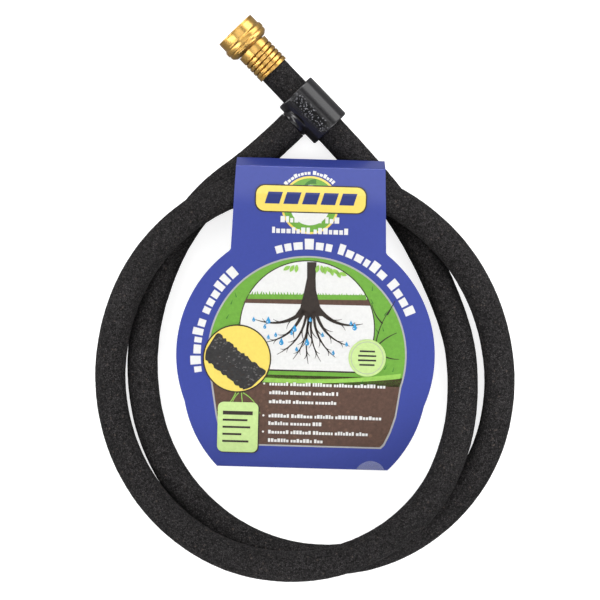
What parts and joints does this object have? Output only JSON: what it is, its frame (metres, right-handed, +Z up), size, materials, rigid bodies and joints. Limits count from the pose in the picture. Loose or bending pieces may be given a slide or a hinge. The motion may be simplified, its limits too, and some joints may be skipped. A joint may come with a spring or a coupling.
{
  "type": "soaker hose ring",
  "caption": "Porous rubber soaker hose laid as a loose double ring, closed by a tee clip, with a brass female coupling and a folded hang card.",
  "frame": {"origin": "middle of the ring's footprint, coupling included, on the floor it lies on", "axes": "+Z up, square to the ring; +Y across the ring towards the coupling; +X to the right with the card's printed face up"},
  "size_m": [0.2884, 0.3875, 0.0461],
  "materials": {
    "crumb_rubber": "matte, mottled porous surface",
    "brass": "bright pressed and rolled",
    "washer_rubber": "smooth black",
    "restrictor_plastic": "satin",
    "clip_plastic": "glossy black",
    "printed_card": "coated and printed, semi-gloss",
    "clear_film": "clear film"
  },
  "bodies": {
    "ring": {"soaker_hose": "crumb_rubber", "hose_tail": "crumb_rubber", "coupling_stem": "brass", "coupling_ferrule": "brass", "hang_card": "printed_card", "card_seal": "clear_film"},
    "nut": {"coupling_nut": "brass", "hose_washer": "washer_rubber", "flow_restrictor": "restrictor_plastic"},
    "clip": {"tee_clip": "clip_plastic"}
  },
  "joints": [
    {"name": "coupling_swivel", "type": "hinge", "parent": "ring", "child": "nut", "pos_m": [-0.03871, 0.1738, 0.01598], "axis": [0.6945, -0.718, -0.046], "continuous": true},
    {"name": "clip_slide", "type": "slide", "parent": "ring", "child": "clip", "axis": [0.6945, -0.718, -0.046], "range_m": [-0.02, 0.01], "deforming": ["hose_tail"]}
  ]
}
